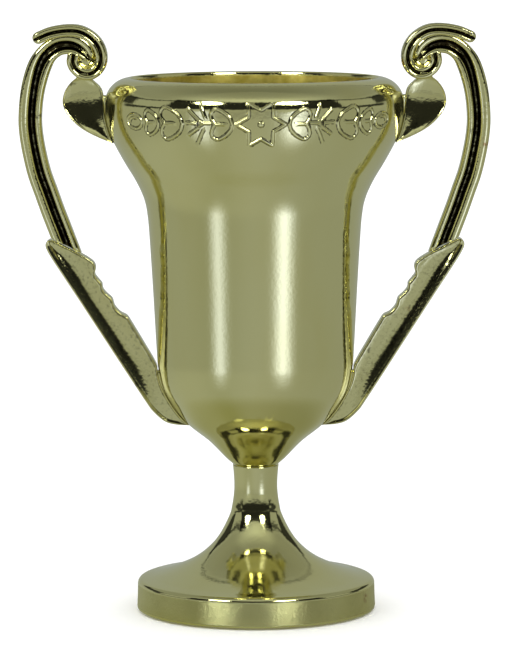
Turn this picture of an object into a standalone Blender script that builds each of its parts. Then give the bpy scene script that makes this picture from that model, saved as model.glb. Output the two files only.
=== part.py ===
"""A small two-handled cup trophy: a turned bowl on a hollow pedestal, two moulded side handles,
the tie rod that clamps bowl and pedestal together, and the screws that hold the handles.

Run with: blender --background --python part.py
World frame in metres: +Z up, the origin at the centre of the foot's underside, X through both handles.
Lengths below are in millimetres and are scaled by MM where meshes are made.
"""

import math

import bmesh
import bpy
from mathutils import Matrix, Vector

MM = 0.001

# Driving dimensions, mm
GAP = 0.3                  # clearance kept between touching pieces
FOOT_R = 24.5              # foot radius at the floor
BAND_TOP_Z = 5.1           # top of the foot's upright band
SEAT_Z = 29.5              # top of the stem, where the bowl sits
BOWL_BASE_Z = SEAT_Z + GAP
SPIGOT_R = 3.0             # locating spigot on top of the stem
SPIGOT_TOP_Z = 32.2
WEB_Z = 12.0               # ceiling of the foot's hollow, where the lower washer bears
FLOOR_Z = 34.5             # bowl floor, where the upper washer bears
LIP_Z = 108.8              # top of the bowl's lip
MOUTH_R = 25.3             # mouth radius
ROD_R = 1.5
ROD_TOP_Z = 39.6
ROD_BOTTOM_Z = 7.0
NUT_FLATS = 5.5
NUT_HEIGHT = 2.4
NUT_WASHER_R = 3.5
WASHER_THICK = 0.5

SCREW_R = 0.9
SCREW_HEAD_R = 1.9
SCREW_HEAD_HEIGHT = 1.2
SCREW_WASHER_R = 2.2
UPPER_SCREW_Z = 101.0      # through the shoulder into the shield lug
LOWER_SCREW_Z = 45.3       # through the lower wall into the leaf
UPPER_SCREW_BITE = 4.6     # depth of each screw in its handle
LOWER_SCREW_BITE = 2.6

BAR_R = 2.4                # handle bar, half its width
STRIP_R = 1.15             # crest strip, half its width
STRIP_HALF_DEPTH = 1.9
SHIELD_HALF_DEPTH = 2.2
LEAF_HALF_DEPTH = 2.0
EDGE_ROUND = 0.35          # rounding on the flat lugs' edges

ROUND_STEPS = 40           # facets round a turned piece

# Outlines, (radius, height) from the top down, mm
LIP_ROLL_R = 5.2             # the lip rolls over in a quarter circle of this radius
LIP_ROLL = [
    (MOUTH_R - 0.1 + LIP_ROLL_R * math.sin(turn), LIP_Z - LIP_ROLL_R * (1 - math.cos(turn)))
    for turn in map(math.radians, (4, 22, 40, 58, 75, 90))
]
BOWL_OUTER = [(MOUTH_R, 108.5)] + LIP_ROLL + [
    (30.2, 100.6), (29.1, 96.8), (26.6, 92.0), (24.15, 87.9), (22.5, 84.2), (21.4, 75.5),
    (20.8, 65.4), (20.2, 54.0), (19.85, 49.5), (18.9, 45.4), (17.0, 41.9), (14.05, 38.2),
    (9.5, 34.5), (6.3, 31.2), (4.75, BOWL_BASE_Z),
]
BOWL_INNER = [
    (8.2, FLOOR_Z + 1.0), (12.9, 39.6), (16.3, 43.4), (18.0, 48.2), (18.6, 57.0), (19.7, 73.0),
    (20.3, 82.0), (22.6, 89.0), (24.3, 97.0), (25.1, 106.5),
]
PEDESTAL_OUTER = [
    (4.7, SEAT_Z), (4.4, 26.2), (4.42, 24.1), (5.15, 19.6), (6.0, 17.6), (7.1, 15.5),
    (8.6, 13.5), (10.8, 11.4), (13.0, 9.85), (17.0, 7.95), (22.6, 6.3), (23.5, 6.15),
    (24.1, 5.8), (24.3, BAND_TOP_Z),
]
PEDESTAL_HOLLOW = [(22.7, 4.0), (21.6, 4.9), (16.0, 6.7), (10.8, 9.3), (8.0, WEB_Z)]

# Handle lines in the X-Z plane, mm, for the handle on the +X side
BAR_LINE = [
    (37.6, 73.0, 1.0), (39.4, 77.7, 1.0), (41.0, 81.8, 1.0), (43.7, 89.9, 1.0), (45.1, 96.0, 1.0),
    (45.45, 101.0, 1.0), (45.0, 106.0, 1.0), (43.7, 110.6, 0.95), (41.3, 113.6, 0.85),
    (38.0, 115.0, 0.7), (35.3, 114.3, 0.6), (33.6, 112.9, 0.45),
]
STRIP_LINE = [
    (43.5, 116.8), (40.8, 117.9), (37.6, 118.35), (34.9, 118.0), (32.5, 116.5), (31.2, 114.3),
    (31.1, 112.1), (32.2, 110.2), (34.0, 109.6), (35.8, 110.4), (36.7, 112.0), (36.5, 113.4),
]
SHIELD_OUTLINE = [
    (33.7, 109.6), (35.7, 109.6), (37.3, 107.75), (38.7, 105.2), (38.5, 102.6), (36.7, 100.0),
    (33.8, 97.85), (30.6, 96.3), (27.4, 95.2), (26.6, 98.0), (28.4, 105.6), (30.8, 105.8),
    (32.2, 107.8),
]
LEAF_TIP = (41.6, 75.2)
LEAF_HEEL = (22.4, 42.8)
LEAF_FOOT = [(20.6, 40.2), (18.3, 38.6), (16.0, 38.0), (13.0, 37.9)]
LEAF_INSIDE = [(12.0, 41.0), (17.0, 47.0), (18.2, 49.8)]
SCALLOPS = [(25.3, 59.2), (27.9, 61.0), (30.0, 64.6), (31.6, 67.2), (32.6, 70.6)]
SCALLOP_DEPTH = 0.55
LEAF_SHOULDER = (40.2, 75.9)


def clear_scene():
    for item in list(bpy.data.objects):
        bpy.data.objects.remove(item, do_unlink=True)


def smooth(points, steps):
    """A Catmull-Rom curve through the points, with this many steps between neighbours."""
    rows = [Vector(point) for point in points]
    rows = [2 * rows[0] - rows[1]] + rows + [2 * rows[-1] - rows[-2]]
    found = []
    for before, start, end, after in zip(rows, rows[1:], rows[2:], rows[3:]):
        for step in range(steps):
            t = step / steps
            found.append(0.5 * (
                2 * start
                + (end - before) * t
                + (2 * before - 5 * start + 4 * end - after) * t ** 2
                + (3 * start - before - 3 * end + after) * t ** 3
            ))
    found.append(rows[-2])
    return [tuple(row) for row in found]


def finish(name, colour, metallic, roughness):
    material = bpy.data.materials.new(name)
    material.use_nodes = True
    shader = material.node_tree.nodes["Principled BSDF"]
    shader.inputs["Base Color"].default_value = (*colour, 1.0)
    shader.inputs["Metallic"].default_value = metallic
    shader.inputs["Roughness"].default_value = roughness
    return material


def plated(name):
    return finish(name, (0.72, 0.66, 0.36), 1.0, 0.12)


def steel(name):
    return finish(name, (0.62, 0.62, 0.60), 1.0, 0.35)


def place(name, mesh, collection, material=None):
    """A new object in the collection, shaded smooth except at sharp edges."""
    item = bpy.data.objects.new(name, mesh)
    collection.objects.link(item)
    mesh.shade_smooth()
    mesh.set_sharp_from_angle(angle=math.radians(35))
    if material:
        mesh.materials.append(material)
    return item


def turned(name, outline, collection, material=None):
    """A closed (radius, height) outline turned about Z; the outline runs down its outer side."""
    mesh = bpy.data.meshes.new(name)
    points = [(radius * MM, 0.0, height * MM) for radius, height in outline]
    count = len(points)
    mesh.from_pydata(points, [(i, (i + 1) % count) for i in range(count)], [])
    item = bpy.data.objects.new(name, mesh)
    collection.objects.link(item)
    screw = item.modifiers.new("turn", "SCREW")
    screw.axis = "Z"
    screw.steps = ROUND_STEPS
    screw.render_steps = ROUND_STEPS
    screw.use_merge_vertices = True
    screw.merge_threshold = 0.00001
    screw.use_normal_calculate = False
    screw.use_smooth_shade = True
    if material:
        mesh.materials.append(material)
    return item


def cut(item, cutter, operation="DIFFERENCE"):
    boolean = item.modifiers.new(operation.lower(), "BOOLEAN")
    boolean.operation = operation
    boolean.solver = "EXACT"
    boolean.object = cutter
    return boolean


def as_cutter(item):
    item.hide_render = True
    item.display_type = "WIRE"
    return item


def mesh_from_curve(item, collection):
    """The curve's evaluated tube as a closed mesh object in the same place."""
    bpy.context.view_layer.update()
    evaluated = item.evaluated_get(bpy.context.evaluated_depsgraph_get())
    mesh = bpy.data.meshes.new_from_object(evaluated)
    form = bmesh.new()
    form.from_mesh(mesh)
    bmesh.ops.remove_doubles(form, verts=form.verts, dist=0.000001)
    bmesh.ops.recalc_face_normals(form, faces=form.faces)
    form.to_mesh(mesh)
    form.free()
    made = bpy.data.objects.new(item.name + "_mesh", mesh)
    made.matrix_world = item.matrix_world
    collection.objects.link(made)
    bpy.data.objects.remove(item, do_unlink=True)
    return as_cutter(made)


def flat_curve(name, collection):
    """An empty 2D curve whose plane is the X-Z plane of the world."""
    curve = bpy.data.curves.new(name, "CURVE")
    item = bpy.data.objects.new(name, curve)
    item.matrix_world = Matrix.Rotation(math.radians(90), 4, "X")
    collection.objects.link(item)
    return item, curve


def plate(name, outline, half_depth, collection):
    """A flat outline in the X-Z plane with rounded edges, centred on Y = 0."""
    item, curve = flat_curve(name, collection)
    curve.dimensions = "2D"
    curve.fill_mode = "BOTH"
    curve.extrude = (half_depth - EDGE_ROUND) * MM
    curve.bevel_depth = EDGE_ROUND * MM
    curve.bevel_resolution = 1
    curve.offset = -EDGE_ROUND * MM
    spline = curve.splines.new("POLY")
    spline.points.add(len(outline) - 1)
    for point, (x, z) in zip(spline.points, outline):
        point.co = (x * MM, z * MM, 0.0, 1.0)
    spline.use_cyclic_u = True
    return mesh_from_curve(item, collection)


def rail(name, line, radius, extra_depth, collection):
    """A capped bar along (x, z, scale) points in the X-Z plane."""
    item, curve = flat_curve(name, collection)
    curve.dimensions = "3D"
    curve.twist_mode = "Z_UP"
    curve.bevel_depth = radius * MM
    curve.bevel_resolution = 2
    curve.extrude = extra_depth * MM
    curve.use_fill_caps = True
    spline = curve.splines.new("POLY")
    spline.points.add(len(line) - 1)
    for point, (x, z, scale) in zip(spline.points, line):
        point.co = (x * MM, z * MM, 0.0, 1.0)
        point.radius = scale
    return mesh_from_curve(item, collection)


def rod(name, radius, start, end, collection, sides=24, material=None):
    """A cylinder from start to end, both in mm."""
    start, end = Vector(start) * MM, Vector(end) * MM
    form = bmesh.new()
    bmesh.ops.create_cone(
        form, cap_ends=True, segments=sides, radius1=radius * MM, radius2=radius * MM,
        depth=(end - start).length,
    )
    mesh = bpy.data.meshes.new(name)
    turn = (end - start).to_track_quat("Z", "Y").to_matrix().to_4x4()
    form.transform(Matrix.Translation((start + end) / 2) @ turn)
    form.to_mesh(mesh)
    form.free()
    return place(name, mesh, collection, material)


def bowl_outline():
    outer = smooth(BOWL_OUTER, 2)
    socket_z = SPIGOT_TOP_Z + GAP
    centre = [
        (SPIGOT_R + GAP, BOWL_BASE_Z), (SPIGOT_R + GAP, socket_z), (ROD_R + GAP, socket_z),
        (ROD_R + GAP, FLOOR_Z), (6.6, FLOOR_Z),
    ]
    return outer + centre + BOWL_INNER


def pedestal_outline():
    outer = smooth(PEDESTAL_OUTER, 2)
    spigot = [(ROD_R + GAP, SPIGOT_TOP_Z), (SPIGOT_R, SPIGOT_TOP_Z), (SPIGOT_R, SEAT_Z)]
    rim = [(FOOT_R, 0.4), (FOOT_R - 0.3, 0.0), (22.7, 0.0)]
    return spigot + outer + rim + PEDESTAL_HOLLOW + [(ROD_R + GAP, WEB_Z)]


def make_bowl(parts, cutters):
    bowl = turned("bowl", bowl_outline(), parts, plated("plated_bowl"))
    for side in (-1, 1):
        for label, height in (("upper", UPPER_SCREW_Z), ("lower", LOWER_SCREW_Z)):
            hole = rod(
                f"bowl_{label}_hole_{side}", SCREW_R + GAP, (side * 10, 0, height),
                (side * 34, 0, height), cutters,
            )
            cut(bowl, as_cutter(hole))
    return bowl


def make_pedestal(parts):
    return turned("pedestal", pedestal_outline(), parts, plated("plated_pedestal"))


def leaf_outline():
    """The leaf: straight outer edge, rounded foot, stepped scallops along the inner top edge."""
    foot = smooth([LEAF_HEEL] + LEAF_FOOT, 2)
    scalloped = []
    for start, end in zip(SCALLOPS, SCALLOPS[1:]):
        start, end = Vector(start), Vector(end)
        along = end - start
        outward = Vector((-along.y, along.x)).normalized()
        for step in range(4):
            t = step / 4
            bulge = SCALLOP_DEPTH * math.sin(math.pi * t)
            scalloped.append(tuple(start + along * t + outward * bulge))
    return foot + LEAF_INSIDE + scalloped + [SCALLOPS[-1], LEAF_SHOULDER, LEAF_TIP]


def mirrored(points):
    return [(-point[0], *point[1:]) for point in points]


def make_handle(side, parts, cutters):
    """One handle as a single solid; side is +1 for the handle at +X and -1 for the other."""
    name = "right_handle" if side > 0 else "left_handle"
    flip = (lambda points: points) if side > 0 else mirrored
    bar = rail(f"{name}_bar", flip(smooth(BAR_LINE, 3)), BAR_R, 0.0, cutters)
    strip = rail(
        f"{name}_strip", flip([(x, z, 1.0) for x, z in smooth(STRIP_LINE, 3)]), STRIP_R,
        STRIP_HALF_DEPTH - STRIP_R, cutters,
    )
    shield = plate(f"{name}_shield", flip(smooth(SHIELD_OUTLINE, 2)), SHIELD_HALF_DEPTH, cutters)
    leaf = plate(f"{name}_leaf", flip(leaf_outline()), LEAF_HALF_DEPTH, cutters)
    clearance = turned(
        f"{name}_bowl_clearance", [(0.01, 112.0), (MOUTH_R, 112.0)]
        + [(radius + GAP, height) for radius, height in smooth(BOWL_OUTER, 2)]
        + [(0.01, BOWL_BASE_Z)], cutters,
    )
    handle = bpy.data.objects.new(name, bar.data.copy())
    parts.objects.link(handle)
    handle.matrix_world = bar.matrix_world
    handle.data.materials.append(plated(f"plated_{name}"))
    for piece in (strip, shield, leaf):
        cut(handle, piece, "UNION")
    cut(handle, as_cutter(clearance))
    for label, height, bite in (
        ("upper", UPPER_SCREW_Z, UPPER_SCREW_BITE), ("lower", LOWER_SCREW_Z, LOWER_SCREW_BITE),
    ):
        reach = wall_outside(height) + bite + 2 * GAP
        hole = rod(
            f"{name}_{label}_hole", SCREW_R + GAP, (side * 10, 0, height),
            (side * reach, 0, height), cutters,
        )
        cut(handle, as_cutter(hole))
    bpy.data.objects.remove(bar, do_unlink=True)
    return handle


def radius_at(outline, height):
    """Where a (radius, height) outline crosses a height."""
    for (r0, z0), (r1, z1) in zip(outline, outline[1:]):
        if min(z0, z1) <= height <= max(z0, z1) and z0 != z1:
            return r0 + (r1 - r0) * (height - z0) / (z1 - z0)
    raise ValueError(height)


def wall_outside(height):
    return radius_at(smooth(BOWL_OUTER[len(LIP_ROLL):], 2), height)


def wall_inside(height):
    return radius_at(BOWL_INNER, height)


def ring(name, outer, inner, start, end, parts, cutters, material):
    """A washer: a disc with a hole, between two points in mm."""
    disc = rod(name, outer, start, end, parts, 28, material)
    along = (Vector(end) - Vector(start)).normalized()
    hole = rod(
        f"{name}_hole", inner, Vector(start) - along, Vector(end) + along, cutters, 20,
    )
    cut(disc, as_cutter(hole))
    return disc


def make_tie(parts, cutters):
    """The rod through bowl and pedestal, with a nut and a washer at each end."""
    rod(
        "tie_rod", ROD_R, (0, 0, ROD_BOTTOM_Z), (0, 0, ROD_TOP_Z), parts, 20, steel("steel_rod"),
    )
    for label, seat, way in (("upper", FLOOR_Z, 1), ("lower", WEB_Z, -1)):
        washer_near = seat + way * GAP
        washer_far = washer_near + way * WASHER_THICK
        nut_near = washer_far + way * GAP
        nut_far = nut_near + way * NUT_HEIGHT
        ring(
            f"{label}_washer", NUT_WASHER_R, ROD_R + GAP, (0, 0, washer_near),
            (0, 0, washer_far), parts, cutters, steel(f"steel_{label}_washer"),
        )
        nut = rod(
            f"{label}_nut", NUT_FLATS / math.sqrt(3), (0, 0, nut_near), (0, 0, nut_far), parts,
            6, steel(f"steel_{label}_nut"),
        )
        hole = rod(
            f"{label}_nut_hole", ROD_R + GAP, (0, 0, min(nut_near, nut_far) - 1),
            (0, 0, max(nut_near, nut_far) + 1), cutters, 20,
        )
        cut(nut, as_cutter(hole))


def make_screw(name, side, height, bite, parts, cutters):
    """A pan-head screw and its washer, driven outwards through the bowl's wall."""
    inside = min(wall_inside(height - SCREW_WASHER_R), wall_inside(height + SCREW_WASHER_R))
    washer_far = math.sqrt(inside ** 2 - SCREW_WASHER_R ** 2) - GAP
    washer_near = washer_far - WASHER_THICK
    head_far = washer_near - GAP
    tip = wall_outside(height) + GAP + bite
    ring(
        name.replace("screw", "washer"), SCREW_WASHER_R, SCREW_R + GAP,
        (side * washer_near, 0, height), (side * washer_far, 0, height), parts, cutters,
        steel(f"steel_{name}_washer"),
    )
    screw = rod(
        name, SCREW_HEAD_R, (side * (head_far - SCREW_HEAD_HEIGHT), 0, height),
        (side * head_far, 0, height), parts, 24, steel(f"steel_{name}"),
    )
    shank = rod(
        f"{name}_shank", SCREW_R, (side * (head_far - 0.5), 0, height), (side * tip, 0, height),
        cutters, 16,
    )
    cut(screw, as_cutter(shank), "UNION")
    slot_centre = side * (head_far - SCREW_HEAD_HEIGHT)
    slot = rod(
        f"{name}_drive", 0.7, (slot_centre - side * 0.5, 0, height),
        (slot_centre + side * 0.7, 0, height), cutters, 6,
    )
    cut(screw, as_cutter(slot))


def main():
    clear_scene()
    parts = bpy.data.collections.new("cup_trophy")
    cutters = bpy.data.collections.new("cutters")
    bpy.context.scene.collection.children.link(parts)
    bpy.context.scene.collection.children.link(cutters)
    make_bowl(parts, cutters)
    make_pedestal(parts)
    make_tie(parts, cutters)
    for side, label in ((-1, "left"), (1, "right")):
        make_handle(side, parts, cutters)
        make_screw(f"{label}_upper_screw", side, UPPER_SCREW_Z, UPPER_SCREW_BITE, parts, cutters)
        make_screw(f"{label}_lower_screw", side, LOWER_SCREW_Z, LOWER_SCREW_BITE, parts, cutters)


main()
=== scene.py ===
"""The looks of a small two-handled trophy cup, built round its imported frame.

Lengths on the cup are in millimetres until a mesh is made, where MM turns them into metres. The
studio round it is in metres. World frame: +Z up, X through both handles, the front towards -Y.
"""

import math

import bpy
import numpy as np
from mathutils import Matrix, Vector
from mathutils.geometry import delaunay_2d_cdt


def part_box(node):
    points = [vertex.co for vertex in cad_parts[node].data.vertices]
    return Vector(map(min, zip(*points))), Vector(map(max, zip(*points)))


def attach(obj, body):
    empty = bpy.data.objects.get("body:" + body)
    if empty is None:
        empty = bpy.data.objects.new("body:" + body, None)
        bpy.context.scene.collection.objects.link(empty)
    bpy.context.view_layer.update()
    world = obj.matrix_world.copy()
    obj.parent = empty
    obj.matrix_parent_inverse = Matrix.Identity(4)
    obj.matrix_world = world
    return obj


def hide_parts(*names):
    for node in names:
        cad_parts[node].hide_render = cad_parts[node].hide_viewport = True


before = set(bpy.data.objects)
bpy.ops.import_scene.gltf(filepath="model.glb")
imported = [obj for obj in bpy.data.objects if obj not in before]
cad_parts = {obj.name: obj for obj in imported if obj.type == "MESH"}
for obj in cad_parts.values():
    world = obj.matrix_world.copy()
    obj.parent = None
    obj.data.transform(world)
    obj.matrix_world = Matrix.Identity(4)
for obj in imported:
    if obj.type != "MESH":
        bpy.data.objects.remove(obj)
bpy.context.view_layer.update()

MM = 0.001

# Outer sizes, read from the frame
BOWL_LOW, BOWL_HIGH = (np.array(corner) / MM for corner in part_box("bowl"))
FOOT_HIGH = np.array(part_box("pedestal")[1]) / MM
LIP_Z = BOWL_HIGH[2]
SHOULDER_R = (BOWL_HIGH[0] - BOWL_LOW[0]) / 2 - 0.05
BOWL_BASE_Z = BOWL_LOW[2]
FOOT_R = FOOT_HIGH[0]
SPIGOT_TOP_Z = FOOT_HIGH[2]
GAP = 0.3                  # clearance between the pieces of the CAD
SEAT_Z = BOWL_BASE_Z - GAP

LIP_R = 5.2                # the rolled lip is a quarter circle
LIP_STEPS = 26
SHOULDER_Z = LIP_Z - LIP_R
SPIGOT_R = 3.0
BORE_R = 1.8               # clearance for the tie rod
FLOOR_Z = 34.5             # top of the bowl's floor
WEB_Z = 12.0               # underside of the foot's web
BAND_TOP_Z = 5.1           # where the foot's upright band turns in

COLUMNS = 240              # facets round the bowl and round the foot

# Frieze, as arc length from its star and height from its centre line
FRIEZE_Z = 101.05
FRIEZE_TURN = math.radians(2.4)
FRIEZE_TOP = 4.35
FRIEZE_BOTTOM = -4.6
RIDGE_HALF_WIDTH = 0.40
RIDGE_HEIGHT = 0.30
RIDGE_STEP = 0.24          # spacing of mesh points along a ridge
POINT_GAP = 0.075          # closest that two mesh points may be
STAR_TIP_R = 4.9
STAR_NOTCH_R = 2.83


# ---------------------------------------------------------------- curves

def smooth(points, steps):
    """A Catmull-Rom curve through the points, with this many steps between neighbours."""
    rows = np.array(points, float)
    rows = np.vstack([2 * rows[0] - rows[1], rows, 2 * rows[-1] - rows[-2]])
    t = (np.arange(steps) / steps)[:, None]
    found = [
        0.5 * (2 * b + (c - a) * t + (2 * a - 5 * b + 4 * c - d) * t ** 2
               + (3 * b - a - 3 * c + d) * t ** 3)
        for a, b, c, d in zip(rows, rows[1:], rows[2:], rows[3:])
    ]
    return np.vstack(found + [rows[-2:-1]])


def soft(value, edge, width):
    """0 below the edge and 1 above it, over a soft step."""
    t = np.clip((value - edge) / width + 0.5, 0, 1)
    return t * t * (3 - 2 * t)


def arc(centre, radius, start, end, steps):
    """Points on a circle, angles in degrees."""
    angle = np.radians(np.linspace(start, end, steps + 1))
    return np.column_stack([centre[0] + radius * np.cos(angle), centre[1] + radius * np.sin(angle)])


def resampled(points, spacing):
    """The polyline with points an even distance apart, close to the spacing."""
    points = np.array(points, float)
    lengths = np.linalg.norm(np.diff(points, axis=0), axis=1)
    along = np.concatenate([[0], np.cumsum(lengths)])
    count = max(2, int(round(along[-1] / spacing)))
    at = np.linspace(0, along[-1], count + 1)
    return np.column_stack([np.interp(at, along, column) for column in points.T])


def nearest(points, starts, ends):
    """Each point's distance to the nearest of the segments, and the direction away from it."""
    found = np.full(len(points), np.inf)
    way = np.zeros((len(points), 2))
    for start, end in zip(starts, ends):
        along = end - start
        t = np.clip(((points - start) @ along) / max(along @ along, 1e-12), 0, 1)
        away = points - start - t[:, None] * along
        length = np.hypot(away[:, 0], away[:, 1])
        closer = length < found
        found[closer] = length[closer]
        way[closer] = away[closer]
    return found, way / np.maximum(found, 1e-9)[:, None]


def spread(points, spacing):
    """The points, less those that crowd an earlier one."""
    kept, cells = [], set()
    for index, point in enumerate(points):
        cell = (round(point[0] / spacing), round(point[1] / spacing))
        if not any((cell[0] + i, cell[1] + j) in cells for i in (-1, 0, 1) for j in (-1, 0, 1)):
            cells.add(cell)
            kept.append(index)
    return points[kept]


# ---------------------------------------------------------------- meshes

class Shell:
    """Closed forms gathered into one mesh.

    Each vertex has a groove value: towards 1 in a crease, which gets painted shade and pooled
    lacquer,
    -1 on a surface inside the cup or under the foot, which gets a painted reflection of gold in
    gold. A form may also give its own normals.
    """

    def __init__(self):
        self.vertices, self.grooves, self.normals, self.faces, self.count = [], [], [], [], 0

    def add(self, vertices, faces, grooves=0.0, normals=None):
        """Adds a form, whose faces count its own vertices from 0."""
        vertices = np.array(vertices, float)
        self.vertices.append(vertices)
        self.grooves.append(np.broadcast_to(grooves, len(vertices)))
        self.normals.append(np.zeros_like(vertices) if normals is None else normals)
        self.faces += [tuple(corner + self.count for corner in face) for face in faces]
        self.count += len(vertices)

    def mirrored(self):
        """The same forms on the other side of X = 0, still facing out."""
        other = Shell()
        for vertices, grooves in zip(self.vertices, self.grooves):
            other.vertices.append(vertices * (-1, 1, 1))
            other.grooves.append(grooves)
            other.normals.append(np.zeros_like(vertices))
        other.faces = [tuple(reversed(face)) for face in self.faces]
        return other

    def welded(self):
        """Vertices, grooves, normals and faces, with vertices in the same place made one."""
        vertices = np.vstack(self.vertices)
        places = np.round(vertices, 4) + 0.0
        _, first, turn = np.unique(places, axis=0, return_index=True, return_inverse=True)
        turn = turn.ravel()
        normals = np.zeros((len(first), 3))
        np.add.at(normals, turn, np.vstack(self.normals))
        faces = []
        for face in self.faces:
            corners = [int(turn[corner]) for corner in face]
            corners = [c for i, c in enumerate(corners) if c != corners[i - 1]]
            if len(corners) > 2:
                faces.append(corners)
        return vertices[first], np.concatenate(self.grooves)[first], normals, faces


def piece(name, shell, node, material):
    """A new visible piece, in mm, that rides on the frame and stands for a node."""
    vertices, grooves, normals, faces = shell.welded()
    mesh = bpy.data.meshes.new(name)
    mesh.from_pydata([tuple(row) for row in vertices * MM], [], faces)
    mesh.update()
    mesh.shade_smooth()
    given = np.linalg.norm(normals, axis=1) > 0.1
    if given.any():
        own = np.zeros(len(vertices) * 3, np.float32)
        mesh.vertex_normals.foreach_get("vector", own)
        own = own.reshape(-1, 3).astype(float)
        own[given] = normals[given] / np.linalg.norm(normals[given], axis=1)[:, None]
        mesh.normals_split_custom_set_from_vertices([tuple(row) for row in own])
    layer = mesh.attributes.new("groove", "FLOAT", "POINT")
    layer.data.foreach_set("value", grooves.astype(np.float32))
    item = bpy.data.objects.new(name, mesh)
    bpy.context.scene.collection.objects.link(item)
    mesh.materials.append(material)
    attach(item, "root")
    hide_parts(node)
    return item


def ring_faces(first, second, count):
    """Quads between two closed rows of vertices, given the index each starts at."""
    return [
        (first + i, first + (i + 1) % count, second + (i + 1) % count, second + i)
        for i in range(count)
    ]


def turned(outline, columns, skip=None):
    """A closed (radius, height) outline turned about Z.

    skip leaves the strip after that row open.
    """
    angle = np.arange(columns) * 2 * math.pi / columns
    rows = [
        np.column_stack([r * np.cos(angle), r * np.sin(angle), np.full(columns, z)])
        for r, z in outline
    ]
    faces = []
    for row in range(len(outline)):
        if row != skip:
            after = (row + 1) % len(outline)
            faces += ring_faces(after * columns, row * columns, columns)
    return np.vstack(rows), faces


def triangles_in(points, outline_count):
    """Delaunay triangles of the points inside the outline that the first points draw."""
    vectors = [Vector(point) for point in points]
    found = delaunay_2d_cdt(vectors, [], [list(range(outline_count))], 1, 1e-5)
    if len(found[0]) != len(points):
        raise ValueError("points crowd each other in a triangulated patch")
    order = [origin[0] for origin in found[3]]
    return [tuple(order[corner] for corner in face) for face in found[2]]


# ---------------------------------------------------------------- bowl

def bowl_outer():
    """The bowl's outside from the mouth down to its seat on the stem."""
    lip_centre = (SHOULDER_R - LIP_R, SHOULDER_Z)
    lip = arc(lip_centre, LIP_R, 88, 0, LIP_STEPS)
    below = smooth([
        (SHOULDER_R, SHOULDER_Z), (30.2, 100.6), (29.1, 96.8), (26.6, 92.0), (24.15, 87.9),
        (22.5, 84.2), (21.8, 80.6), (21.4, 75.5), (20.8, 65.4), (20.2, 54.0), (19.85, 49.5),
        (18.9, 45.4), (17.0, 41.9), (14.05, 38.2), (9.5, 34.5), (6.3, 31.2), (4.75, BOWL_BASE_Z),
    ], 8)
    return np.vstack([[(25.15, LIP_Z - 0.35)], lip, below[1:]])


BORE_ROWS = 4


def bowl_inner():
    """The bowl's inside: BORE_ROWS of socket and bore, then the wall up to the mouth."""
    socket_z = SPIGOT_TOP_Z + GAP
    centre = [
        (SPIGOT_R + GAP, BOWL_BASE_Z), (SPIGOT_R + GAP, socket_z), (BORE_R, socket_z),
        (BORE_R, FLOOR_Z),
    ]
    wall = smooth([
        (6.6, FLOOR_Z), (8.2, FLOOR_Z + 1.0), (12.9, 39.6), (16.3, 43.4), (18.0, 48.2),
        (18.6, 57.0), (19.7, 73.0), (20.3, 82.0), (22.6, 89.0), (24.3, 97.0), (25.08, 107.7),
    ], 5)
    return np.vstack([centre, wall])


def heart(tip, length, half_height, way):
    """A heart lying on its side, its point at tip towards the star, with a dash in its notch."""
    upper = smooth([
        (1.0, 0.0), (1.19, 0.36), (1.22, 0.74), (0.95, 1.0), (0.48, 0.78), (0.14, 0.42), (0.0, 0.0),
    ], 5)
    outline = np.vstack([upper, (upper * (1, -1))[-2::-1]])
    outline = np.column_stack([way * (tip + length * outline[:, 0]), half_height * outline[:, 1]])
    dash = [(way * (tip + length * share), 0.0) for share in (0.94, 0.52)]
    return [outline, dash]


def frieze_strokes():
    """The raised lines of one frieze: star, hearts, bursts of rays and small rings."""
    turns = np.arange(13) * math.pi / 6
    radii = np.where(np.arange(13) % 2 == 0, STAR_TIP_R, STAR_NOTCH_R)
    star = np.column_stack([radii * np.cos(turns), radii * np.sin(turns)])
    strokes = [star, arc((0, 0), 0.28, 0, 360, 8)]
    for way in (-1, 1):
        for tip, length, half_height in ((5.6, 3.5, 3.0), (16.0, 4.2, 3.2), (21.7, 3.0, 2.45)):
            strokes += heart(tip, length, half_height, way)
        for near, far in (
            ((10.1, 0.2), (11.35, 0.2)), ((13.0, 0.15), (14.8, 0.25)), ((12.5, 0.8), (14.4, 2.6)),
            ((11.15, 1.45), (12.1, 3.8)), ((12.6, -0.75), (14.6, -2.0)),
            ((11.6, -1.2), (13.0, -3.7)),
        ):
            strokes.append([(way * near[0], near[1]), (way * far[0], far[1])])
        for size, start, end in ((1.0, 0, 360), (0.62, 15, 120)):
            ring = arc((0, 0), size, start, end, int((end - start) / 18))
            strokes.append(ring * (way * 2.35, 1.4) + (way * 28.7, 0.0))
    return strokes


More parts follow.
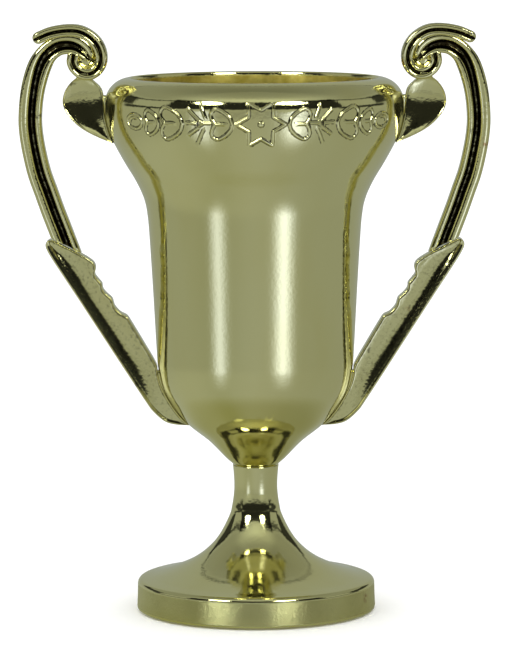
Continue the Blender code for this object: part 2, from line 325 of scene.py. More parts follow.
def frieze_patch(outline, top, bottom):
    """The strip of the bowl that holds the frieze, front and back, as raised ridges.

    It is laid out flat, as (arc length, height), and its top and bottom rows meet the turned rows
    above and below it.
    """
    reference = SHOULDER_R
    length = 2 * math.pi * reference
    seam = -math.pi / 2 * reference
    columns = seam + np.arange(COLUMNS + 1) * length / COLUMNS
    strokes = []
    for centre in (FRIEZE_TURN * reference, FRIEZE_TURN * reference + length / 2):
        strokes += [np.array(stroke) + (centre, FRIEZE_Z) for stroke in frieze_strokes()]
    starts = np.vstack([stroke[:-1] for stroke in strokes])
    ends = np.vstack([stroke[1:] for stroke in strokes])

    side = np.linspace(top, bottom, 12)[1:-1]
    outline_points = [(u, top) for u in columns]
    outline_points += [(columns[-1], z) for z in side]
    outline_points += [(u, bottom) for u in columns[::-1]]
    outline_points += [(columns[0], z) for z in side[::-1]]

    rows = []
    for offset in (0, -0.5, 0.5, -0.25, 0.25, -0.75, 0.75, -1.0, 1.0, -1.3, 1.3, -1.7, 1.7):
        for stroke in strokes:
            line = resampled(stroke, RIDGE_STEP)
            ahead = np.gradient(line, axis=0)
            ahead /= np.linalg.norm(ahead, axis=1)[:, None]
            shifted = line + offset * RIDGE_HALF_WIDTH * ahead[:, ::-1] * (-1, 1)
            away, _ = nearest(shifted, starts, ends)
            rows.append(shifted[away > abs(offset) * RIDGE_HALF_WIDTH - 0.02])
    grid = np.array([(u, z) for u in columns[1:-1] for z in side])
    grid = grid[nearest(grid, starts, ends)[0] > 2.0 * RIDGE_HALF_WIDTH]
    inside = np.vstack(rows + [grid])
    inside = inside[(inside[:, 1] < top - 0.25) & (inside[:, 1] > bottom + 0.25)]
    flat = np.vstack([outline_points, spread(inside, POINT_GAP)])
    faces = triangles_in(flat, len(outline_points))

    away, way = nearest(flat, starts, ends)
    share = np.clip(away / RIDGE_HALF_WIDTH, 0, 1)
    rise = RIDGE_HEIGHT * 0.5 * (1 + np.cos(np.pi * share))
    steep = -RIDGE_HEIGHT * 0.5 * np.pi / RIDGE_HALF_WIDTH * np.sin(np.pi * share)
    # Painted shade along the foot of each ridge, together with lacquer pooled there.
    foot = np.exp(-((away - 0.95 * RIDGE_HALF_WIDTH) / 0.11) ** 2)
    heights, radii = outline[::-1, 1], outline[::-1, 0]
    radius = np.interp(flat[:, 1], heights, radii)
    slope = np.interp(flat[:, 1], heights, np.gradient(radii, heights))
    lean = np.arctan(slope)
    angle = flat[:, 0] / reference - math.pi / 2
    spin = np.column_stack([np.cos(angle), np.sin(angle), np.zeros(len(angle))])
    side_way = np.column_stack([-np.sin(angle), np.cos(angle), np.zeros(len(angle))])
    out = spin * np.cos(lean)[:, None] - np.outer(np.sin(lean), (0, 0, 1))
    upward = spin * np.sin(lean)[:, None] + np.outer(np.cos(lean), (0, 0, 1))
    vertices = spin * radius[:, None] + np.outer(flat[:, 1], (0, 0, 1)) + out * rise[:, None]
    normals = out - (steep * way[:, 0])[:, None] * side_way - (steep * way[:, 1])[:, None] * upward
    return vertices, faces, 0.9 * foot, normals / np.linalg.norm(normals, axis=1)[:, None]


def make_bowl(material):
    """The bowl: turned rows above and below the frieze's strip, and the inside."""
    outer, inner = bowl_outer(), bowl_inner()
    top, bottom = FRIEZE_Z + FRIEZE_TOP, FRIEZE_Z + FRIEZE_BOTTOM
    above = outer[outer[:, 1] > top + 0.05]
    below = outer[outer[:, 1] < bottom - 0.05]
    edge = [(np.interp(z, outer[::-1, 1], outer[::-1, 0]), z) for z in (top, bottom)]
    rows = np.vstack([above, edge, below, inner])
    shell = Shell()
    # Inside rows get -1, which paints a reflection of gold in gold on them.
    hidden = np.repeat(np.arange(len(rows)) >= len(rows) - len(inner) + BORE_ROWS, COLUMNS)
    shell.add(*turned(rows, COLUMNS, skip=len(above)), grooves=np.where(hidden, -1.0, 0.0))
    shell.add(*frieze_patch(outer, top, bottom))
    return piece("bowl_fine", shell, "bowl", material)


# ---------------------------------------------------------------- pedestal

def make_pedestal(material, band_material):
    """The stem and foot. The upright band of the foot has a material of its own."""
    spigot = [(BORE_R, SPIGOT_TOP_Z), (SPIGOT_R, SPIGOT_TOP_Z), (SPIGOT_R, SEAT_Z)]
    stem = smooth([
        (4.7, SEAT_Z), (4.55, 28.0), (4.43, 26.0), (4.45, 24.2), (4.67, 22.2), (4.9, 20.9),
        (5.18, 19.6), (6.04, 17.6), (7.15, 15.5), (8.57, 13.5), (10.73, 11.4), (12.97, 9.85),
        (15.0, 8.8), (17.0, 7.95), (19.0, 7.25), (21.0, 6.65), (22.4, 6.33),
    ], 8)
    edge = arc((23.25, BAND_TOP_Z), 1.05, 76, 0, 18)
    band = [(24.34, 3.0), (FOOT_R - 0.05, 0.5), (FOOT_R - 0.12, 0.15)]
    rim = [(FOOT_R - 0.35, 0.0), (22.7, 0.0), (22.65, 0.2)]
    hollow = smooth([(22.6, 3.9), (21.6, 4.8), (16.0, 6.6), (10.8, 9.2), (8.0, WEB_Z)], 5)
    rows = np.vstack([spigot, stem, edge, band, rim, hollow, [(BORE_R, WEB_Z)]])
    # Rows under the foot get -1, which paints a reflection of gold in gold on them.
    under = np.repeat(np.arange(len(rows)) >= len(rows) - len(hollow) - 2, COLUMNS)
    shell = Shell()
    shell.add(*turned(rows, COLUMNS), grooves=np.where(under, -1.0, 0.0))
    item = piece("pedestal_fine", shell, "pedestal", material)
    item.data.materials.append(band_material)
    for face in item.data.polygons:
        away = math.hypot(face.center.x, face.center.y)
        upright = 0.0004 < face.center.z < (BAND_TOP_Z + 0.05) * MM
        if upright and away > (FOOT_R - 0.2) * MM:
            face.material_index = 1
    return item


# ---------------------------------------------------------------- handles

BAR = [  # channel centre x, z, then outer roll, channel, inner roll
    (38.0, 74.6, 2.05, 1.25, 1.4), (39.15, 77.7, 2.05, 1.25, 1.4), (40.7, 81.8, 2.05, 1.25, 1.4),
    (42.1, 85.8, 2.05, 1.25, 1.4), (43.5, 89.9, 2.05, 1.25, 1.4), (44.6, 95.0, 2.1, 1.2, 1.4),
    (45.1, 99.0, 2.1, 1.2, 1.4), (45.05, 102.3, 2.1, 1.2, 1.4), (44.7, 105.6, 2.1, 1.2, 1.45),
    (44.15, 108.6, 2.0, 1.2, 1.6), (43.25, 111.5, 1.75, 1.35, 1.6), (41.9, 113.6, 1.45, 1.5, 1.3),
    (39.9, 115.0, 1.45, 1.6, 1.05), (37.8, 115.4, 1.6, 1.5, 1.0), (36.1, 115.05, 1.85, 1.3, 0.95),
    (34.75, 114.15, 1.9, 1.0, 0.8), (33.9, 113.2, 1.5, 0.6, 0.6),
]
BAR_CROWN = 2.2            # crowns are half the depth of a form, front to back
BAR_DIP = 0.5              # how deep the channel lies between its rolls
STRIP = [
    (43.6, 116.85), (41.2, 117.8), (38.0, 118.32), (35.2, 118.1), (32.9, 116.8), (31.5, 115.0),
    (31.0, 112.9), (31.5, 111.0), (33.0, 109.75), (34.7, 109.8), (36.0, 110.7), (36.65, 112.0),
    (36.5, 113.3),
]
STRIP_CROWN = 2.4
STRIP_DIP = 0.35
STRIP_WIDTHS = (1.08, 0.42, 0.92)
SHIELD_CROWN = 2.9
SHIELD_RIMS = (0.45, 0.4)
LEAF_CROWN = 2.35
LEAF_RIMS = (0.85, 0.5)
ROOT_HALF_DEPTH = 1.4      # the webs that carry shield and leaf to the bowl
VOLUTE_CENTRE = (34.2, 112.3)
VOLUTE_WEB_R = 2.7
VOLUTE_HALF_DEPTH = 1.2

SHIELD_OUTSIDE = [
    (35.7, 109.7), (36.1, 108.8), (37.3, 107.75), (38.4, 106.1), (38.85, 104.3), (38.6, 102.7),
    (37.6, 101.0), (35.9, 99.25), (33.9, 97.9), (31.3, 96.65), (28.7, 95.65),
]
SHIELD_INSIDE = [
    (33.6, 109.7), (33.1, 108.7), (32.2, 107.9), (31.2, 106.9), (30.7, 105.7), (30.5, 103.8),
    (30.35, 101.5), (29.9, 99.2), (29.3, 97.2), (28.6, 95.6),
]
LEAF_OUTSIDE = [
    (41.9, 75.9), (42.5, 75.3), (42.35, 74.1), (40.9, 71.5), (36.3, 64.4), (31.65, 57.15),
    (27.0, 49.9), (22.4, 42.8), (20.9, 40.75), (18.6, 38.75), (16.3, 38.05), (13.6, 37.9),
]
LEAF_INSIDE = [
    (41.9, 75.9), (41.0, 75.8), (38.0, 74.3), (34.8, 72.65), (32.9, 71.3), (32.45, 70.1),
    (32.65, 68.9), (32.0, 67.9), (31.2, 66.9), (31.05, 65.9), (30.3, 64.9), (29.15, 63.8),
    (28.65, 62.3), (27.5, 61.0), (26.2, 60.3), (25.3, 59.0), (22.8, 54.8), (20.3, 50.4),
    (20.0, 48.6), (19.4, 46.4), (18.2, 43.9), (16.6, 41.3), (15.0, 39.3), (13.6, 37.9),
]


def section(widths, crown, drop):
    """A bar's section: a roll at each edge and a channel between them, the same on both faces.

    Rows are (across, depth, groove), measured from the channel's centre, from the outer edge over
    the front and round the back. The groove paints shade, mixed with lacquer, into the channel and
    along the rolls' edges next to it.
    """
    outer, channel, inner = widths
    half = channel / 2
    rolls = []
    for centre, width in ((half + outer / 2, outer), (-half - inner / 2, inner)):
        rise = min(0.55 * width, 0.8)
        turn = np.radians(np.linspace(0, 180, 13))
        across = centre + width / 2 * np.cos(turn)
        # Painted shade on the roll's edge next to the channel.
        near = np.clip(1 - (np.abs(across) - half) / 0.22, 0, 1)
        rolls.append(np.column_stack([across, crown - rise + rise * np.sin(turn), near]))
    first, last = rolls[0][-1], rolls[1][0]
    share = np.linspace(0, 1, 9)[1:-1]
    dip = drop * (1 - np.abs(2 * share - 1) ** 1.6)
    # The channel floor gets painted shade and lacquer.
    floor = np.column_stack([
        first[0] + (last[0] - first[0]) * share, first[1] + (last[1] - first[1]) * share - dip,
        1 - 0.25 * np.sin(np.pi * share),
    ])
    face = np.vstack([rolls[0], floor, rolls[1]])
    return np.vstack([face, (face * (1, -1, 1))[::-1]])


def swept(line, sections, lean=None):
    """Sections along a line in the X-Z plane. lean is where the first section lies along."""
    line = np.array(line, float)
    ahead = np.gradient(line, axis=0)
    ahead /= np.linalg.norm(ahead, axis=1)[:, None]
    across = np.column_stack([ahead[:, 1], -ahead[:, 0]])
    if lean is not None:
        target = np.array(lean, float)
        target /= target @ across[0]
        share = np.clip(1 - np.arange(len(line)) / 8, 0, 1)[:, None] ** 1.5
        across = across + (target - across) * share
    vertices, count = [], len(sections[0])
    for centre, side, rows in zip(line, across, sections):
        spot = centre + rows[:, :1] * side
        vertices.append(np.column_stack([spot[:, 0], rows[:, 1], spot[:, 1]]))
    faces = []
    for row in range(len(line) - 1):
        faces += ring_faces((row + 1) * count, row * count, count)
    faces.append(tuple(range(count)))
    faces.append(tuple(range((len(line) - 1) * count, len(line) * count))[::-1])
    return np.vstack(vertices), faces, np.concatenate([rows[:, 2] for rows in sections])


def with_nose(line, sections, at_end):
    """Adds shrinking sections past one end, so that it closes round."""
    line, sections = [np.array(point) for point in line], list(sections)
    tip, before = (line[-1], line[-2]) if at_end else (line[0], line[1])
    way = (tip - before) / np.linalg.norm(tip - before)
    last = sections[-1] if at_end else sections[0]
    middle = (last[:, 0].max() + last[:, 0].min()) / 2
    reach = last[:, 0].max() - middle
    for turn in np.radians(np.arange(12, 85, 12)):
        point = tip + way * reach * math.sin(turn)
        smaller = last.copy()
        smaller[:, 0] = middle + (last[:, 0] - middle) * math.cos(turn)
        smaller[:, 1] *= 0.45 + 0.55 * math.cos(turn)
        line = line + [point] if at_end else [point] + line
        sections = sections + [smaller] if at_end else [smaller] + sections
    return line, sections


def dished(outside, inside, stations, rims, crown, drop, pan, tarnish_and_shade, sink=lambda along: 0.0):
    """A lug between two edges, the same on both faces: a rim along each edge and a pan between.

    rims are the rim widths along the outside and the inside edge. pan gives the pan's depth, and
    the next argument the dark patches in it (painted reflection of dark places, with tarnish on the
    leaf), from the share of the way across and the share of the way along. sink lowers the whole
    face, rims and all, by the share of the way along.
    """
    share = np.linspace(0, 1, stations)
    edges = []
    for line in (outside, inside):
        line = resampled(smooth(line, 6), 0.1)
        at = np.linspace(0, 1, len(line))
        edges.append(np.column_stack([np.interp(share, at, column) for column in line.T]))
    widths = np.linalg.norm(edges[1] - edges[0], axis=1)
    reach = max(1, stations // 12)
    padded = np.pad(widths, reach, mode="edge")
    even = np.convolve(padded, np.ones(2 * reach + 1) / (2 * reach + 1), "valid")
    steps = np.array([0.0, 0.05, 0.14, 0.28, 0.42, 0.56, 0.68, 0.8, 0.9, 1.0])
    fall = np.array([0.0, 0.0, 0.0, 0.0, 0.06, 0.3, 0.6, 0.85, 0.96, 1.0])
    chamfer = np.array([0.26, 0.13, 0.04, 0, 0, 0, 0, 0, 0, 0])
    middle = np.linspace(0, 1, 19)[1:-1]
    line = np.exp(-((steps - 0.92) / 0.13) ** 2)
    vertices, grooves = [], []
    for start, end, width, smooth_width, along in zip(*edges, widths, even, share):
        first, second = (min(rim, 0.42 * width) for rim in rims)
        across = np.concatenate([
            steps * first, first + (width - first - second) * middle,
            width - (steps * second)[::-1],
        ])
        spread_out = np.clip((across - first) / max(smooth_width - first - second, 0.2), 0, 1)
        floor = drop * min(1.0, width / 2.0) + pan(spread_out, along) * min(1.0, width / 4.0)
        lowered = np.concatenate([fall, np.ones(len(middle)), fall[::-1]])
        cut = np.concatenate([chamfer, 0 * middle, chamfer[::-1]])
        spot = start + across[:, None] / max(width, 1e-6) * (end - start)
        front = np.column_stack([
            spot[:, 0], sink(along) - crown + floor * lowered + cut, spot[:, 1],
        ])
        vertices.append(np.vstack([front, (front * (1, -1, 1))[::-1]]))
        # Dark patches in the pan: painted reflection of dark places, with tarnish too on the leaf.
        shade_and_tarnish = tarnish_and_shade(spread_out, along) * lowered
        # Painted shade and pooled lacquer in the creases at the rims' inner feet.
        crease = np.concatenate([line * 0.5, 0 * middle, line[::-1] * 0.85])
        crease = np.maximum(crease, shade_and_tarnish)
        grooves.append(np.concatenate([crease, crease[::-1]]))
    count = len(vertices[0])
    faces = []
    for row in range(stations - 1):
        faces += ring_faces(row * count, (row + 1) * count, count)
    faces.append(tuple(range(count))[::-1])
    faces.append(tuple(range((stations - 1) * count, stations * count)))
    return np.vstack(vertices), faces, np.concatenate(grooves)


def shield_sink(along):
    """Thinnest a quarter of the way down, so that the lower part faces a little upwards."""
    thinnest, straight, deepest, steepness = 0.25, 0.45, 1.6, 2.5
    if along < thinnest:
        return deepest - 0.8 * (1 - along / thinnest) ** 2
    turning = min(along, straight) - thinnest
    curved = steepness * turning ** 2 / (2 * (straight - thinnest))
    return max(deepest - curved - steepness * max(0.0, along - straight), 0.0)


def shield_pan(across, along):
    """A shallow spoon-shaped hollow."""
    return 0.40 * (4 * across * (1 - across)) * (4 * along * (1 - along)) ** 0.5


def shield_painted_reflection(across, along):
    """Dark patches low down: a painted reflection of the dark opening in front."""
    return 0.5 * soft(along, 0.55, 0.4) * np.sin(np.pi * across)


def leaf_pan(across, along):
    """Steep from the outer edge, nearly flat over the inner half, and fading towards the foot."""
    steep = 1 - np.clip(1 - across / 0.5, 0, 1) ** 2
    rise = np.clip((across - 0.7) / 0.3, 0, 1) ** 2
    return (0.62 * steep - 0.10 * rise) * (1 - soft(along, 0.74, 0.3))


def leaf_tarnish_and_shade(across, along):
    """Dark band along the outer edge, down to three quarters of the way: tarnish and a painted
    reflection of the dark opening. Faint tarnish specks elsewhere.
    """
    band = 0.62 * np.exp(-((across - 0.18) / 0.24) ** 2) * (1 - soft(along, 0.72, 0.3))
    return np.maximum(band, 0.34 - 0.04 * along)


def block(outside, inside, half_depth):
    """A plain web between two edges, hidden where a lug or the volute needs a floor or a root."""
    ends = [resampled(line, 0.5) for line in (outside, inside)]
    count = min(map(len, ends))
    loops = []
    for outer, inner in zip(ends[0][:count], ends[1][:count]):
        loops.append([
            (outer[0], -half_depth, outer[1]), (inner[0], -half_depth, inner[1]),
            (inner[0], half_depth, inner[1]), (outer[0], half_depth, outer[1]),
        ])
    faces = []
    for row in range(count - 1):
        faces += ring_faces(row * 4, row * 4 + 4, 4)
    faces.append((3, 2, 1, 0))
    faces.append(tuple(range(count * 4 - 4, count * 4)))
    return np.vstack(loops), faces


def bowl_radius(height):
    """The outside radius of the bowl below its lip."""
    outer = bowl_outer()[LIP_STEPS + 2:]
    return float(np.interp(height, outer[::-1, 1], outer[::-1, 0]))


def handle_shell():
    """All the forms of the handle at +X."""
    shell = Shell()
    bar = smooth(BAR, 6)
    sections = [section(row[2:], BAR_CROWN, BAR_DIP) for row in bar]
    shell.add(*swept(*with_nose(bar[:, :2], sections, True), lean=(6.7, 3.4)))
    strip = resampled(smooth(STRIP, 8), 0.35)
    one_section = section(STRIP_WIDTHS, STRIP_CROWN, STRIP_DIP)
    shell.add(*swept(*with_nose(*with_nose(strip, [one_section] * len(strip), True), False)))
    shell.add(*dished(SHIELD_OUTSIDE, SHIELD_INSIDE, 90, SHIELD_RIMS, SHIELD_CROWN, 0.12,
                      shield_pan, shield_painted_reflection, shield_sink))
    shell.add(*dished(LEAF_OUTSIDE, LEAF_INSIDE, 260, LEAF_RIMS, LEAF_CROWN, 0.22, leaf_pan,
                      leaf_tarnish_and_shade))
    for low, high, sunk, wide in ((96.4, 105.2, 0.7, 1.2), (38.8, 49.0, 0.6, 1.4)):
        root = [(bowl_radius(z) - sunk, z) for z in np.linspace(low, high, 12)]
        shell.add(*block([(x + wide, z) for x, z in root], root, ROOT_HALF_DEPTH))
    over, under = (
        arc(VOLUTE_CENTRE, VOLUTE_WEB_R, 180, end, 16) for end in (0, 360)
    )
    shell.add(*block(over, under, VOLUTE_HALF_DEPTH))
    return shell


def make_handles(left_material, right_material):
    """Both handles, the left one as the right one's mirror image."""
    right = handle_shell()
    piece("right_handle_fine", right, "right_handle", right_material)
    piece("left_handle_fine", right.mirrored(), "left_handle", left_material)


# ---------------------------------------------------------------- materials

class Graph:
    """Short ways to add and join shader nodes."""

    def __init__(self, name):
        self.material = bpy.data.materials.new(name)
        self.material.use_nodes = True
        self.tree = self.material.node_tree
        self.shader = self.tree.nodes["Principled BSDF"]
        self.shader.inputs["Metallic"].default_value = 1.0
        self.where = self.tree.nodes.new("ShaderNodeTexCoord").outputs["Object"]

    def join(self, source, socket):
        """Links an output to the socket, or sets the socket to a constant."""
        if isinstance(source, bpy.types.NodeSocket):
            self.tree.links.new(source, socket)
        else:
            socket.default_value = source

    def noise(self, scale, detail=2.0, stretch=(1.0, 1.0, 1.0)):
        """Noise in the piece's own space, in cells to the metre."""
        spread_out = self.tree.nodes.new("ShaderNodeVectorMath")
        spread_out.operation = "MULTIPLY"
        self.join(self.where, spread_out.inputs[0])
        spread_out.inputs[1].default_value = stretch
        node = self.tree.nodes.new("ShaderNodeTexNoise")
        node.inputs["Scale"].default_value = scale
        node.inputs["Detail"].default_value = detail
        self.join(spread_out.outputs["Vector"], node.inputs["Vector"])
        return node.outputs["Fac"]

    def math(self, operation, first, second):
        node = self.tree.nodes.new("ShaderNodeMath")
        node.operation = operation
        for source, socket in zip((first, second), node.inputs):
            self.join(source, socket)
        return node.outputs["Value"]

    def ramp(self, value, low, high, at_low=0.0, at_high=1.0):
        """A soft step from at_low, where the value is low, to at_high, where it is high."""
        node = self.tree.nodes.new("ShaderNodeMapRange")
        node.interpolation_type = "SMOOTHSTEP"
        for name, source in zip(
            ("Value", "From Min", "From Max", "To Min", "To Max"),
            (value, low, high, at_low, at_high),
        ):
            self.join(source, node.inputs[name])
        return node.outputs["Result"]

    def mix(self, share, first, second):
        node = self.tree.nodes.new("ShaderNodeMix")
        node.data_type = "RGBA"
        self.join(share, node.inputs["Factor"])
        for source, socket in ((first, node.inputs[6]), (second, node.inputs[7])):
            self.join((*source, 1.0) if isinstance(source, tuple) else source, socket)
        return node.outputs[2]

    def attribute(self, name):
        node = self.tree.nodes.new("ShaderNodeAttribute")
        node.attribute_name = name
        return node.outputs["Fac"]

    def near(self, centre, radius):
        """1 at the centre, given in mm, falling to 0 at the radius."""
        node = self.tree.nodes.new("ShaderNodeVectorMath")
        node.operation = "DISTANCE"
        self.join(self.where, node.inputs[0])
        node.inputs[1].default_value = [value * MM for value in centre]
        return self.ramp(node.outputs["Value"], 0.0, radius * MM, 1.0, 0.0)

    def bump(self, height, strength, under=None):
        node = self.tree.nodes.new("ShaderNodeBump")
        node.inputs["Distance"].default_value = 0.001
        self.join(strength, node.inputs["Strength"])
        self.join(height, node.inputs["Height"])
        if under is not None:
            self.join(under, node.inputs["Normal"])
        return node.outputs["Normal"]


GOLD = (0.80, 0.755, 0.395)
DEEP_GOLD = (0.74, 0.66, 0.26)
# Near black: pooled lacquer, and also painted shade and painted reflections of dark places.
LACQUER_AND_SHADE = (0.028, 0.020, 0.008)
# Deeper golds for inside the cup and under the foot: a painted reflection of gold in gold, mottled
# at random.
INSIDE_REFLECTED_GOLD = (0.80, 0.66, 0.17)
INSIDE_REFLECTED_TARNISH = (0.50, 0.38, 0.07)
RUST = (0.36, 0.13, 0.03)
ZINC = (0.48, 0.49, 0.50)
BRIGHT_ZINC = (0.68, 0.68, 0.66)


def plated(name, stains=(), turned_finish=False, mottled=0.0, tooth=0.02):
    """Mirror plating on moulded plastic: pale gold, faint orange peel, painted shade and pooled
    lacquer in the creases, and a painted reflection of gold in gold inside the cup and under the
    foot.

    stains are (centre, radius) of rusty spots of wear. turned_finish is for the foot's upright
    band.
    mottled is how dark the specks of lacquer are, and tooth how strong the fine texture is.
    """
    graph = Graph(name)
    cloud = graph.noise(55.0, 3.0, (1.0, 1.0, 0.35))
    colour = graph.mix(graph.ramp(cloud, 0.35, 0.75), GOLD, DEEP_GOLD)
    colour = graph.mix(0.55, colour, GOLD)
    # Groove values paint shade into creases, channels and lug pans, mixed with pooled lacquer.
    groove = graph.attribute("groove")
    ragged = graph.math("SUBTRACT", graph.noise(1500.0, 2.0), 0.5)
    edged = graph.math("ADD", groove, graph.math("MULTIPLY", ragged, 0.7))
    dark = graph.ramp(edged, 0.3, 0.85)
    if mottled:
        blotch = graph.noise(420.0, 4.0)
        speck = graph.ramp(blotch, 0.64, 0.72, 0.0, mottled)
        dark = graph.math("MAXIMUM", dark, speck)
    colour = graph.mix(dark, colour, LACQUER_AND_SHADE)
    # Inside the cup and under the foot the colour is a painted reflection of gold in gold, mottled
    # at random.
    hidden = graph.ramp(groove, -0.9, -0.1, 1.0, 0.0)
    dull = graph.ramp(graph.noise(240.0, 4.0), 0.35, 0.7)
    colour = graph.mix(hidden, colour, graph.mix(dull, INSIDE_REFLECTED_GOLD, INSIDE_REFLECTED_TARNISH))
    for centre, radius in stains:
        broken = graph.ramp(graph.noise(900.0, 4.0), 0.42, 0.62)
        spot = graph.math("MULTIPLY", graph.near(centre, radius), broken)
        colour = graph.mix(graph.math("MULTIPLY", spot, 0.8), colour, RUST)
    graph.join(colour, graph.shader.inputs["Base Color"])

    gloss = graph.ramp(cloud, 0.3, 0.7, 0.05, 0.10)
    gloss = graph.math("MAXIMUM", gloss, graph.math("MULTIPLY", dark, 0.16))
    inner_gloss = graph.ramp(graph.noise(700.0, 3.0), 0.35, 0.65, 0.34, 0.66)
    gloss = graph.math("MAXIMUM", gloss, graph.math("MULTIPLY", hidden, inner_gloss))
    peel = graph.bump(graph.noise(500.0, 2.0, (1.0, 1.0, 0.25)), 0.012)
    peel = graph.bump(graph.noise(1500.0, 3.0), tooth, peel)
    if turned_finish:
        gloss = graph.ramp(graph.noise(900.0, 3.0), 0.3, 0.7, 0.29, 0.36)
        graph.shader.inputs["Anisotropic"].default_value = 1.0
        graph.shader.inputs["Anisotropic Rotation"].default_value = 0.25
        peel = graph.bump(graph.noise(2000.0, 3.0), 0.12, peel)
    graph.join(gloss, graph.shader.inputs["Roughness"])
    graph.join(peel, graph.shader.inputs["Normal"])
    return graph.material


def zinc_steel(name):
    """Zinc-plated steel with a crystalline bloom."""
    graph = Graph(name)
    bloom = graph.noise(1800.0, 3.0)
    colour = graph.mix(graph.ramp(bloom, 0.3, 0.7), ZINC, BRIGHT_ZINC)
    graph.join(colour, graph.shader.inputs["Base Color"])
    graph.join(graph.ramp(bloom, 0.3, 0.7, 0.24, 0.42), graph.shader.inputs["Roughness"])
    return graph.material


def paper(name):
    """White backdrop paper with a trace of tooth."""
    graph = Graph(name)
    graph.shader.inputs["Metallic"].default_value = 0.0
    colour = graph.mix(graph.noise(300.0), (0.97, 0.97, 0.97), (1.0, 1.0, 1.0))
    graph.join(colour, graph.shader.inputs["Base Color"])
    graph.shader.inputs["Roughness"].default_value = 0.9
    return graph.material


# ---------------------------------------------------------------- studio

ROOM_RADIUS = 4.0
TABLE_EDGE = 1.35
CARD_COLUMNS = 720
FLOOR_HALF = 3.0
FILL_LIGHT = 1.3
PAPER = np.array([0.355, 0.382, 0.345])
LAMPS = ((-38.5, 31.0), (30.5, 31.5))   # azimuth, elevation
LAMP_HALF_SIZE = (11.5, 6.6)
LAMP_POWER = 36.0
OPENING_DARKNESS = 0.945   # the dark opening behind the camera
SILL_DARKNESS = 0.9        # the dark strip low on each side
FRAME_DARKNESS = 0.93
FLANK_DARKNESS = 0.9       # the side panels behind the cup
POOLS = ((31.0, 2.7, 9.0), (-40.0, 1.7, 7.5))   # on the table: azimuth, power, width
POOL_TINT = np.array([1.0, 1.04, 1.85])
WARM_TINT = np.array([0.03, 0.05, 0.32])        # what is taken out of the light near the foot
OUTLINE = [  # the dark frame round the side panels and the ceiling, |azimuth|, elevation
    (40, 38.5), (60, 36), (80, 31), (99, 27), (122, 26), (144, 24), (150, 30), (157, 38),
    (162, 44), (168, 48), (180, 51),
]


def between(value, low, high, width):
    """1 from low to high and 0 outside, over soft steps."""
    return soft(value, low, width) * (1 - soft(value, high, width))


def room_light(azimuth, elevation):
    """The studio's radiance by direction, in degrees: azimuth 0 towards the camera, 90 to +X."""
    side = np.abs(azimuth)
    edge = np.interp(side, *np.transpose(OUTLINE))
    level = 1.0 - 0.30 * soft(elevation, 62, 45)
    level = level * (1 - 0.22 * soft(side, 70, 40) * soft(elevation - edge, 4, 8))
    level = level * (1 + 0.8 * np.exp(-((elevation - 45) / 9) ** 2 - (side / 50) ** 2))
    opening = between(elevation, 6, 38, 3) * (1 - soft(side, 71, 3))
    level = level * (1 - OPENING_DARKNESS * opening)
    sill = between(side, 68, 118, 5) * between(elevation, 3, 8.5, 2)
    level = level * (1 - SILL_DARKNESS * sill)
    thick = np.interp(side, (60, 100, 145, 160), (2.0, 1.6, 1.6, 1.1))
    frame_line = np.exp(-((elevation - edge) / thick) ** 2) * soft(side, 40, 8)
    level = level * (1 - FRAME_DARKNESS * frame_line)
    flank = between(side, 108, 149, 4) * soft(elevation, 9 + 0.1 * (side - 108), 4)
    level = level * (1 - FLANK_DARKNESS * flank * (1 - soft(elevation - edge, 0, 2)))
    wide, high = LAMP_HALF_SIZE
    for lamp_side, lamp_rise in LAMPS:
        lamp = ((azimuth - lamp_side) / wide) ** 2 + ((elevation - lamp_rise) / high) ** 2
        level = np.maximum(level, LAMP_POWER * (1 - soft(lamp, 1.0, 0.3)))
        post = np.exp(-((azimuth - lamp_side) / 13) ** 2) * between(elevation, -7, 5.5, 2)
        level = level * (1 + 0.3 * post)
    return PAPER * level[..., None]


def table_light(x, y):
    """The lit table's radiance round the cup, with a cool pool thrown out by each lamp."""
    azimuth = np.degrees(np.arctan2(x, -y))
    away = np.hypot(x, y)
    pools = 0.10 * np.exp(-(azimuth / 45.0) ** 2) - 0.12 * np.exp(-((azimuth + 40.0) / 24.0) ** 2)
    for lamp, power, width in POOLS:
        pools = pools + power * soft(away, 0.15, 0.14) * np.exp(-((azimuth - lamp) / width) ** 2)
    close = 1 - soft(away, 0.2, 0.15)
    shade = 1.0 + close * (0.06 - 0.09 * x / away) - 0.2 * (1 - soft(away, 0.055, 0.04))
    shade = shade - 0.05 * soft(azimuth, 45, 30) * (1 - close)
    warm = np.multiply.outer(1 - soft(away, 0.055, 0.05), WARM_TINT)
    return PAPER * (shade[..., None] * (1 - warm) + pools[..., None] * POOL_TINT)


def card(name, vertices, colours, rows):
    """Rings of vertices that glow with their own colours and show only in reflections."""
    faces = []
    for row in range(rows - 1):
        faces += ring_faces(row * CARD_COLUMNS, (row + 1) * CARD_COLUMNS, CARD_COLUMNS)
    mesh = bpy.data.meshes.new(name)
    mesh.from_pydata([tuple(row) for row in vertices], [], faces)
    layer = mesh.color_attributes.new("light", "FLOAT_COLOR", "POINT")
    shown = np.column_stack([colours, np.ones(len(colours))])
    layer.data.foreach_set("color", shown.astype(np.float32).ravel())
    material = bpy.data.materials.new(name)
    material.use_nodes = True
    tree = material.node_tree
    tree.nodes.clear()
    emission = tree.nodes.new("ShaderNodeEmission")
    output = tree.nodes.new("ShaderNodeOutputMaterial")
    colour = tree.nodes.new("ShaderNodeAttribute")
    colour.attribute_name = "light"
    tree.links.new(colour.outputs["Color"], emission.inputs["Color"])
    tree.links.new(emission.outputs["Emission"], output.inputs["Surface"])
    mesh.materials.append(material)
    item = bpy.data.objects.new(name, mesh)
    bpy.context.scene.collection.objects.link(item)
    item.visible_camera = False
    item.visible_diffuse = False
    item.visible_shadow = False
    item.visible_transmission = False


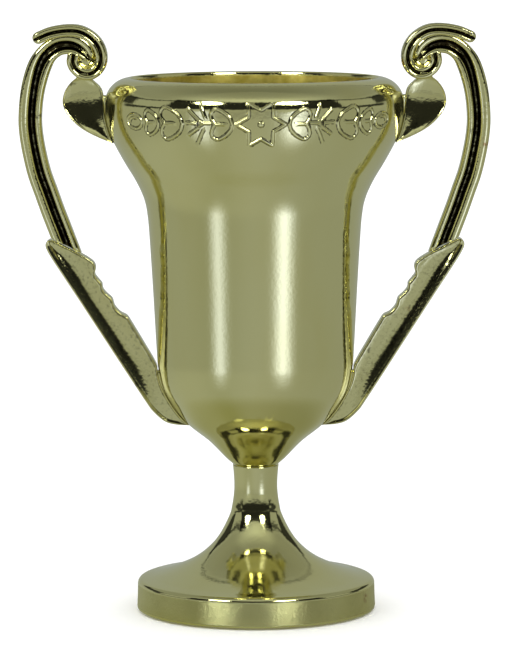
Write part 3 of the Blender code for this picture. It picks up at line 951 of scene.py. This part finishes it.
def make_room():
    """A dome with the studio on its inside, and the table top as the plating sees it."""
    turn = np.arange(CARD_COLUMNS) * 360 / CARD_COLUMNS - 180
    rise = np.concatenate([
        np.linspace(-90, -10, 20), np.arange(-9, 60.1, 0.5), np.arange(62, 91, 2),
    ])
    azimuth, elevation = np.meshgrid(turn, rise)
    a, e = np.radians(azimuth).ravel(), np.radians(elevation).ravel()
    dome = ROOM_RADIUS * np.column_stack([
        np.sin(a) * np.cos(e), -np.cos(a) * np.cos(e), np.sin(e),
    ])
    light = room_light(azimuth, elevation).reshape(-1, 3)
    card("room", dome, light, len(rise))

    radii = np.concatenate([[0.012], np.geomspace(0.024, 2.6, 90)])
    azimuth, away = np.meshgrid(np.radians(turn), radii)
    x, y = (away * np.sin(azimuth)).ravel(), (-away * np.cos(azimuth)).ravel()
    light = table_light(x, y) * (1 - 0.3 * soft(-y, TABLE_EDGE, 0.1))[:, None]
    card("table_card", np.column_stack([x, y, np.full(len(x), -0.0002)]), light, len(radii))


def make_floor():
    """The paper that the camera sees, which isn't in the reflections."""
    mesh = bpy.data.meshes.new("floor")
    corners = ((-1, -1), (1, -1), (1, 1), (-1, 1))
    mesh.from_pydata(
        [(x * FLOOR_HALF, y * FLOOR_HALF, 0) for x, y in corners], [], [(0, 1, 2, 3)],
    )
    floor = bpy.data.objects.new("floor", mesh)
    bpy.context.scene.collection.objects.link(floor)
    mesh.materials.append(paper("floor_paper"))
    floor.location.z = -0.0004
    floor.visible_glossy = False


def make_world():
    """Plain white light all round."""
    world = bpy.data.worlds.new("studio")
    bpy.context.scene.world = world
    world.use_nodes = True
    back = world.node_tree.nodes["Background"]
    back.inputs["Color"].default_value = (1.0, 1.0, 1.0, 1.0)
    back.inputs["Strength"].default_value = FILL_LIGHT


def make_view():
    """Plain display colours, so that white paper stays white."""
    bpy.context.scene.view_settings.view_transform = "Standard"


CAMERA_AT = (0.0, -0.774, 0.1477)
CAMERA_LENS = 213.0
CAMERA_SHIFT = 0.0074
CAMERA_DIP = 6.557         # degrees below level
CAMERA_ROLL = -0.2


def make_camera():
    """The photograph's viewpoint: a long lens from about eight tenths of a metre."""
    data = bpy.data.cameras.new("camera")
    data.lens = CAMERA_LENS
    data.shift_x = CAMERA_SHIFT
    data.clip_start = 0.01
    camera = bpy.data.objects.new("camera", data)
    bpy.context.scene.collection.objects.link(camera)
    camera.location = CAMERA_AT
    camera.rotation_mode = "ZXY"
    camera.rotation_euler = (math.radians(90 - CAMERA_DIP), 0.0, 0.0)
    roll = Matrix.Rotation(math.radians(CAMERA_ROLL), 3, "Z")
    camera.rotation_euler = (camera.rotation_euler.to_matrix() @ roll).to_euler("ZXY")
    bpy.context.scene.camera = camera


# ---------------------------------------------------------------- scene

make_view()
make_camera()
make_world()
make_floor()
make_room()

HANDLE_FINISH = {"mottled": 0.6, "tooth": 0.035}
BAND_STAINS = [((22.2, -9.9, 3.6), 1.6)]
HANDLE_STAINS = [((46.8, -2.0, 95.5), 1.5), ((31.0, -2.2, 61.5), 1.2)]

make_bowl(plated("bowl_plating"))
make_pedestal(
    plated("pedestal_plating"),
    plated("pedestal_band_plating", BAND_STAINS, turned_finish=True),
)
make_handles(
    plated("left_handle_plating", **HANDLE_FINISH),
    plated("right_handle_plating", HANDLE_STAINS, **HANDLE_FINISH),
)

for node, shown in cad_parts.items():
    if node.endswith(("nut", "washer", "screw", "rod")):
        shown.data.materials.clear()
        shown.data.materials.append(zinc_steel(f"{node}_zinc"))
